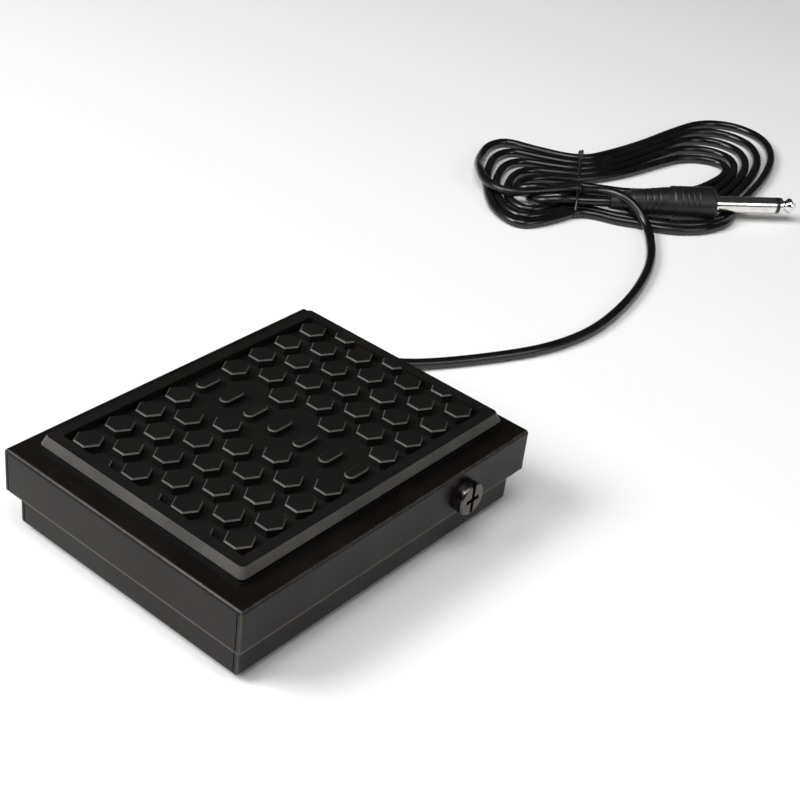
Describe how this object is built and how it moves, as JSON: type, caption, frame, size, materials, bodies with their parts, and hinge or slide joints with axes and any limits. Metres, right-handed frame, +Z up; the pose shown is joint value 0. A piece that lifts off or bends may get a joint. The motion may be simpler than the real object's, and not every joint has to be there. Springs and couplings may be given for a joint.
{
  "type": "sustain pedal",
  "caption": "Flat sustain foot pedal: folded black metal lid with a hexagon-studded rubber tread on a tray base, with a tied lead and a jack plug.",
  "frame": {"origin": "on the ground under the middle of the lid, measured without the lead, its hank and its plug", "axes": "+X to the right of the player's foot, +Y to the rear where the lead leaves, +Z up"},
  "size_m": [0.1578, 0.4116, 0.0306],
  "materials": {
    "painted_steel": "satin black powder coat on folded steel",
    "base_paint": "satin black powder coat on folded steel",
    "tread_rubber": "moulded black rubber, slightly dusty",
    "foot_rubber": "matt black rubber",
    "screw_nickel": "dark nickel plate, worn at the slot",
    "plated_steel": "zinc plate",
    "spring_steel": "bright spring steel",
    "terminal_brass": "tinned brass",
    "rivet_aluminium": "plain aluminium",
    "bush_nylon": "black nylon",
    "black_plastic": "black moulded plastic",
    "switch_case": "black glass-filled plastic",
    "plunger_plastic": "red acetal",
    "cord_rubber": "soft black moulding",
    "cord_jacket": "glossy black flexible jacket",
    "wire_jacket": "coloured wire insulation",
    "tie_coating": "black coated wire",
    "plug_moulding": "black moulded handle",
    "plug_nickel": "bright nickel plate",
    "insulator_plastic": "black ring"
  },
  "bodies": {
    "base": {"base_tray": "base_paint", "rubber_feet": "foot_rubber", "pivot_screws": "screw_nickel", "pivot_spacers": "plated_steel", "pivot_nuts": "plated_steel", "spring_seat": "black_plastic", "return_spring": "spring_steel", "switch_body": "switch_case", "switch_terminals": "terminal_brass", "switch_bracket": "plated_steel", "bracket_rivets": "rivet_aluminium", "switch_screws": "plated_steel", "switch_nuts": "plated_steel", "down_stop_buffers": "foot_rubber", "cord_grommet": "cord_rubber", "inner_cable": "cord_jacket", "inner_wires": "wire_jacket", "cable_clamp": "black_plastic", "clamp_screws": "plated_steel", "cord": "cord_jacket", "cord_hank": "cord_jacket", "cord_tie": "tie_coating", "plug_handle": "plug_moulding", "plug_sleeve": "plug_nickel", "plug_insulator": "insulator_plastic", "plug_tip": "plug_nickel"},
    "lid": {"lid": "painted_steel", "stop_hook": "plated_steel", "switch_actuator": "plated_steel", "tread_pad": "tread_rubber", "pivot_bushes": "bush_nylon", "spring_cap": "black_plastic"},
    "lever": {"switch_lever": "spring_steel"},
    "plunger": {"switch_plunger": "plunger_plastic"}
  },
  "joints": [
    {"name": "lid_tilt", "type": "hinge", "parent": "base", "child": "lid", "pos_m": [0, 0.028, 0.0175], "axis": [1, 0, 0], "range_deg": [0, 3], "stiffness_Nm_per_rad": 20, "springref_deg": -2.01, "deforming": ["return_spring"]},
    {"name": "switch_lever_tilt", "type": "hinge", "parent": "base", "child": "lever", "pos_m": [0.0179, -0.0064, 0.01568], "axis": [1, 0, 0], "range_deg": [0, 10.5]},
    {"name": "switch_plunger_slide", "type": "slide", "parent": "base", "child": "plunger", "axis": [0, 0, 1], "range_m": [-0.0011, 0]}
  ],
  "couplings": [
    {"joint": "switch_lever_tilt", "follows": "lid_tilt", "ratio": 3.4397},
    {"joint": "switch_plunger_slide", "follows": "lid_tilt", "m_per_rad": -0.020638}
  ]
}
